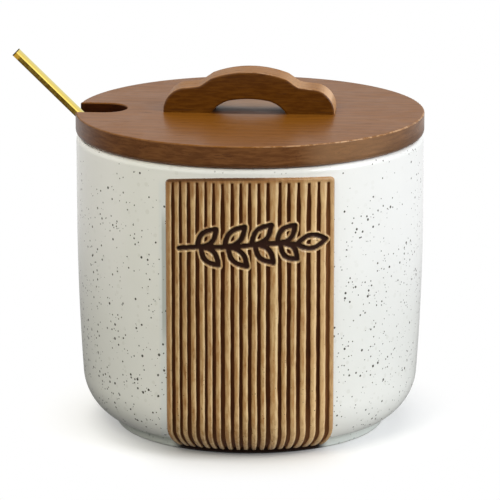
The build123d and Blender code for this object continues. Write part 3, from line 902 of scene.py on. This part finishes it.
def rib_group():
    """Cuts grooves and the drawn twig into the sheet, then bends it round the jar. Lengths in mm."""
    tree = bpy.data.node_groups.new("Combed ribs", "GeometryNodeTree")
    add_socket(tree, "Geometry", "Geometry", way="OUTPUT")
    for name, kind, value in (
        ("Geometry", "Geometry", None),
        ("Drawing", "Object", None),
        ("Glaze", "Material", None),
        ("First groove", "Float", FIRST_GROOVE),
        ("Pitch", "Float", RIB_PITCH),
        ("Groove half width", "Float", 0.36),
        ("Groove shoulder", "Float", 0.40),
        ("Rib height", "Float", 1.12),
        ("Groove height", "Float", 0.20),
        ("Wander", "Float", 0.30),
        ("Stroke half width", "Float", 0.70),
        ("Stroke slope", "Float", 0.38),
        ("Corner radius", "Float", 1.5),
    ):
        add_socket(tree, name, kind, value)
    n = Nodes(tree)
    given = n.add("NodeGroupInput").outputs
    end = n.add("NodeGroupOutput")

    def attribute(name, kind="FLOAT"):
        return n.add("GeometryNodeInputNamedAttribute", {"Name": name}, data_type=kind).outputs[0]

    def store(geometry, name, value, kind="FLOAT"):
        inputs = {"Geometry": geometry, "Name": name, "Value": value}
        node = n.add("GeometryNodeStoreNamedAttribute", inputs, data_type=kind, domain="POINT")
        return node.outputs[0]

    place = n.vector("SCALE", n.add("GeometryNodeInputPosition").outputs[0], Scale=1 / MM)
    x = n.split(place)[0]
    from_top, from_end, from_side, height, sink = (
        attribute(name) for name in ("from_top", "from_end", "from_side", "height", "sink")
    )

    def field(scale, spot, detail=1.0):
        """Noise about 0, between about -0.5 and 0.5."""
        moved = n.vector("MULTIPLY_ADD", place, scale, spot)
        node = n.add("ShaderNodeTexNoise", {"Vector": moved, "Scale": 1.0, "Detail": detail})
        return n.minus(node.outputs[0], 0.5)

    # where the nearest groove's middle is
    drift = n.add("ShaderNodeFloatCurve")
    curve = drift.mapping.curves[0]
    places = [FIRST_GROOVE + k * RIB_PITCH + d for k, d in enumerate(GROOVE_DRIFT)]
    spots = [(-PANEL_HALF, GROOVE_DRIFT[0])] + list(zip(places, GROOVE_DRIFT))
    spots += [(PANEL_HALF, GROOVE_DRIFT[-1])]
    while len(curve.points) < len(spots):
        curve.points.new(0.5, 0.5)
    for point, (where, amount) in zip(curve.points, spots):
        share = (where + PANEL_HALF) / (2 * PANEL_HALF)
        point.location = (share, (amount + DRIFT_REACH) / (2 * DRIFT_REACH))
        point.handle_type = "VECTOR"
    drift.mapping.update()
    n.put(drift.inputs["Value"], n.step(x, -PANEL_HALF, PANEL_HALF, kind="LINEAR"))
    drifted = n.times_plus(drift.outputs[0], 2 * DRIFT_REACH, -DRIFT_REACH)
    wander = n.times(field((0.09, 0, 0.035), (3.7, 1.2, 0.4)), given["Wander"])
    wander = n.times_plus(field((0.3, 0, 0.25), (9.1, 4.0, 2.2)), 0.18, wander)
    straight = n.minus(n.minus(x, drifted), given["First groove"])
    cycle = n.math("DIVIDE", n.plus(straight, wander), given["Pitch"])
    number = n.math("ROUND", cycle)
    off_middle = n.minus(cycle, number)
    gap = n.times(n.size(off_middle), given["Pitch"])
    outside = n.most(n.under(cycle, -0.5), n.over(cycle, len(GROOVE_DRIFT) - 0.5))

    # each groove has its own width and its own start under the top band
    own = n.add("ShaderNodeTexWhiteNoise", {"W": number}, noise_dimensions="1D").outputs["Value"]
    half = n.times_plus(own, 0.16, given["Groove half width"])
    half = n.times_plus(field((0.5, 0, 0.11), (1.3, 7.7, 5.0), 2.0), 0.42, half)
    start = n.times_plus(own, 0.5, n.step(x, -24.0, -8.0, 0.60, 1.30))
    below_start = n.minus(from_top, start)
    half = n.times(half, n.step(below_start, 0.3, 9.0, 0.55))
    shoulder = n.plus(half, given["Groove shoulder"])
    opened = n.times(n.step(below_start, -0.15, 0.45), n.flip(outside))
    hollow = n.times(n.flip(n.step(gap, half, shoulder)), opened)

    # the drawing: a stroke, a raised rim beside it, and grooves that stop short of it
    info = n.add("GeometryNodeObjectInfo", {"Object": given["Drawing"]}, transform_space="ORIGINAL")
    near = n.add("GeometryNodeProximity", target_element="EDGES")
    n.put(near.inputs[0], info.outputs["Geometry"])
    reach = n.times(near.outputs["Distance"], 1 / MM)
    reach = n.times_plus(field((0.6, 0, 0.6), (2.0, 6.0, 8.0), 2.0), 0.45, reach)
    stroke_end = n.plus(given["Stroke half width"], given["Stroke slope"])
    stroke = n.flip(n.step(reach, given["Stroke half width"], stroke_end))
    rim_near = n.plus(stroke_end, 0.15)
    pushed = n.flip(n.step(reach, rim_near, n.plus(rim_near, 0.5)))
    hollow = n.times(hollow, n.flip(n.times(pushed, 0.85)))
    rib = n.flip(hollow)

    # height above the jar
    bottom = n.step(height, RIB_END - 0.1, RIB_END + 0.9)
    uneven = n.times(field((0.35, 0, 0.06), (5.0, 2.0, 1.0), 2.0), 0.14)
    top = n.plus(n.plus(given["Rib height"], uneven), n.step(gap, 0.9, 1.5, 0.0, 0.05))
    body = n.blend(rib, given["Groove height"], top)
    body = n.times_plus(n.times(pushed, rib), 0.05, body)
    carved = n.blend(stroke, n.blend(bottom, 0.30, body), 0.10)
    # the border goes down into the jar, with a rounded edge and rounded corners
    ragged = n.times_plus(field((0.45, 0, 0.05), (8.0, 1.0, 2.0), 3.0), 0.55, from_end)
    turned = given["Corner radius"]
    off_side = n.most(n.minus(turned, from_side), 0.0)
    off_end = n.most(n.minus(turned, ragged), 0.0)
    corner = n.add("ShaderNodeCombineXYZ", {0: off_side, 1: off_end}).outputs[0]
    rim_distance = n.minus(turned, n.vector("LENGTH", corner))
    rim_distance = n.most(n.math("MINIMUM", rim_distance, EDGE_ROUND), 0.0)
    short = n.flip(n.math("DIVIDE", rim_distance, EDGE_ROUND))
    edge_round = n.math("SQRT", n.flip(n.times(short, short)))
    full = n.plus(n.math("MINIMUM", carved, PANEL_RISE), sink)
    lifted = n.minus(n.times(full, edge_round), sink)

    # masks for the glaze
    slope = n.times(n.step(gap, half, shoulder), n.flip(n.step(gap, 0.95, 1.35)), opened)
    right_of = n.step(off_middle, -0.05, 0.05)
    # painted shade: a dark line along the top edge, mostly on the left
    lip = n.times(n.flip(n.step(from_top, 0.55, 1.0)), n.step(x, -2.0, 14.0, 1.0, 0.10))
    border = n.most(n.flip(n.step(from_top, 0.6, 2.4)), n.flip(n.step(from_side, 0.4, 2.2)))
    beside = n.most(n.minus(pushed, stroke), 0.0)
    broken = n.step(field((0.9, 0, 0.9), (4.0, 3.0, 7.0), 2.0), -0.10, 0.16)
    made = given["Geometry"]
    for name, mask in (
        ("rib", n.times(rib, bottom)),
        # groove walls that face right, glaze breaking cream with painted light, and those that face
        # left, painted shade
        ("rib_edge", n.times(slope, n.step(right_of, 0.0, 1.0, 1.0, 0.15))),
        ("rib_shade", n.times(slope, right_of)),
        ("lip", lip),
        ("cut", stroke),
        ("rim", n.times(beside, rib, broken)),
        ("border", border),
        # painted shade on the recessed band at the foot
        ("pooled", n.flip(n.step(height, RIB_END + 0.2, RIB_END + 1.3))),
    ):
        made = store(made, name, mask)
    moved = n.vector("SCALE", attribute("out", "FLOAT_VECTOR"), Scale=n.times(lifted, MM))
    bent = n.vector("ADD", attribute("wrap", "FLOAT_VECTOR"), moved)
    # every height is worked out on the flat sheet before the points move
    made = store(made, "bent", bent, "FLOAT_VECTOR")
    for kind, inputs in (
        ("GeometryNodeSetPosition", {"Position": attribute("bent", "FLOAT_VECTOR")}),
        ("GeometryNodeSetShadeSmooth", {}),
        ("GeometryNodeRealizeInstances", {}),
        ("GeometryNodeSetMaterial", {"Material": given["Glaze"]}),
    ):
        made = n.add(kind, {"Geometry": made, **inputs}).outputs[0]
    n.put(end.inputs[0], made)
    return tree


def apply_nodes(piece, tree, **inputs):
    """Run a geometry node tree on a piece and keep the result as a plain mesh."""
    modifier = piece.modifiers.new(tree.name, "NODES")
    modifier.node_group = tree
    for item in tree.interface.items_tree:
        if item.in_out == "INPUT" and item.name in inputs:
            modifier[item.identifier] = inputs[item.name]
    bpy.context.view_layer.update()
    seen = piece.evaluated_get(bpy.context.evaluated_depsgraph_get())
    mesh = bpy.data.meshes.new_from_object(seen)
    piece.modifiers.remove(modifier)
    piece.data = mesh
    return piece


def make_panel():
    sheet = panel_sheet()
    wire = make_sprig()
    panel = apply_nodes(sheet, rib_group(), Drawing=wire, Glaze=BROWN_GLAZE)
    panel.name = "ribbed_front"
    for name in ("wrap", "out", "bent", "height", "sink", "from_top", "from_end", "from_side"):
        panel.data.attributes.remove(panel.data.attributes[name])
    bpy.data.objects.remove(wire)
    return panel


jar = make_jar()
panel = make_panel()

for node_name, material in (
    ("lid_board", BOARD_WOOD),
    ("lid_plug", BOARD_WOOD),
    ("lid_handle", HANDLE_WOOD),
    ("lid_seal", SEAL_SILICONE),
    ("handle_screws", SCREW_STEEL),
    ("salt_spoon", SPOON_GOLD),
):
    shown = nodes[node_name].data.materials
    shown.clear()
    shown.append(material)

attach(jar, "jar")
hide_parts("jar_body")
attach(panel, "jar")
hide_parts("ribbed_panel")


# -------- studio
def make_floor():
    """White paper that keeps the jar's shadow and runs out to plain white."""
    material = bpy.data.materials.new("white floor")
    n = empty_tree(material)
    path = n.add("ShaderNodeLightPath").outputs
    camera, glossy = path["Is Camera Ray"], path["Is Glossy Ray"]
    place = n.add("ShaderNodeTexCoord").outputs["Object"]
    away = n.vector("LENGTH", place)
    x, y, _ = n.split(place)
    # the paper is lit best in front, so it throws more light back from there
    front = n.times_plus(x, 0.6, n.times(y, -1.0))
    bright = n.mix(n.rise(away, 65, 120), (0.66, 0.66, 0.65), (0.29, 0.29, 0.28))
    thrown = n.mix(n.rise(front, -30, 90), (0.12, 0.12, 0.115), bright)
    # painted shade: the paper is a little darker near the jar
    seen = n.mix(n.rise(away, 56, 85), (0.755, 0.755, 0.77), (0.80, 0.80, 0.81))
    # the shadow is deepest where the jar stands, in front and on the left
    close = n.times(n.fall(away, 47, 60, 0.6), n.fall(x, 5, 40))
    seen = n.mix(close, seen, (0.56, 0.56, 0.57))
    paper = n.add("ShaderNodeBsdfDiffuse", {"Color": n.mix(camera, thrown, seen)})
    # painted light: near the jar the paper glows for the camera, most on the left
    fill = n.plus(n.fall(x, -56, -20, 0.41, 0.12), n.rise(x, 5, 45, 0.095))
    fill = n.most(n.times_plus(close, -0.12, fill), 0.0)
    glow = n.add("ShaderNodeEmission", {"Color": (1, 1, 1), "Strength": n.times(camera, fill)})
    near = n.add("ShaderNodeAddShader", {0: paper.outputs[0], 1: glow.outputs[0]})
    # further out it is plain white, and dimmer in the glaze's reflections
    slant = n.times_plus(x, 0.35, y)
    sheen = n.times(n.rise(slant, -200, 300, 0.86, 0.27), n.rise(away, 50, 400, 1.0, 0.42))
    white = n.add("ShaderNodeEmission", {"Color": (1, 1, 1), "Strength": n.blend(glossy, 1.0, sheen)})
    plain = n.most(n.times(n.rise(away, 54, 82), camera), glossy)
    both = n.add("ShaderNodeMixShader", {0: plain, 1: near.outputs[0], 2: white.outputs[0]})
    n.add("ShaderNodeOutputMaterial", {"Surface": both.outputs[0]})
    far = FLOOR_HALF
    corners = [(x, y, -FLOOR_DEPTH) for x, y in ((-far, -far), (far, -far), (far, far), (-far, far))]
    floor = make_mesh("floor", corners, [(0, 1, 2, 3)], material)


def make_dark_wall():
    """The unlit end of the studio, behind the camera."""
    material, n, shader, _ = new_material("dark wall")
    n.dress(shader, {"Base Color": (0.03, 0.03, 0.03), "Roughness": 0.9})
    half, y, top = 900, -1900, 1700
    corners = [(-half, y, 0), (half, y, 0), (half, y, top), (-half, y, top)]
    wall = make_mesh("dark_wall", corners, [(3, 2, 1, 0)], material)
    wall.visible_camera = False


def make_lamp(name, place, power, size, colour):
    """A round lamp that looks at the middle of the jar. Metres and watts."""
    lamp = bpy.data.lights.new(name, "AREA")
    lamp.shape = "DISK"
    lamp.size = size
    lamp.energy = power
    lamp.color = colour
    holder = place_in_scene(name, lamp)
    holder.location = place
    east, north, up = np.array((0, 0, 0.05)) - np.array(place)
    holder.rotation_euler = (
        math.atan2(math.hypot(east, north), -up),
        0,
        math.atan2(north, east) - math.pi / 2,
    )
    return holder


def make_world():
    world = bpy.data.worlds.new("studio")
    bpy.context.scene.world = world
    n = empty_tree(world)
    path = n.add("ShaderNodeLightPath").outputs
    seen = n.most(path["Is Camera Ray"], path["Is Glossy Ray"])
    strength = n.step(seen, 0.0, 1.0, 0.52, 1.0, "LINEAR")
    tint = n.mix(seen, (1.0, 0.99, 0.92), (1, 1, 1))
    sky = n.add("ShaderNodeBackground", {"Color": tint, "Strength": strength})
    n.add("ShaderNodeOutputWorld", {"Surface": sky.outputs[0]})


def make_camera():
    camera = bpy.data.cameras.new("camera")
    camera.lens = CAMERA_LENS
    camera.sensor_width = 36
    camera.clip_end = 50
    holder = place_in_scene("camera", camera)
    holder.location = CAMERA_PLACE
    holder.rotation_euler = (math.radians(CAMERA_TURN), 0, 0)
    bpy.context.scene.camera = holder


make_floor()
make_dark_wall()
make_world()
make_lamp("key", (1.15, -0.60, 0.80), 14.2, 0.9, (0.905, 0.955, 1.0))
make_lamp("top", (0.10, 0.35, 1.60), 4.0, 1.2, (1.0, 0.99, 0.97))
make_lamp("left", (-0.24, -0.40, 0.40), 1.38, 0.35, (1.0, 0.975, 0.83)).visible_glossy = False
make_lamp("card", (0.34, -1.30, 0.46), 0.75, 0.45, (1.0, 1.0, 1.0))
make_lamp("right", (1.25, -0.42, 0.36), 1.5, 0.5, (1.0, 0.99, 0.97))
make_camera()
bpy.context.scene.view_settings.view_transform = "Standard"
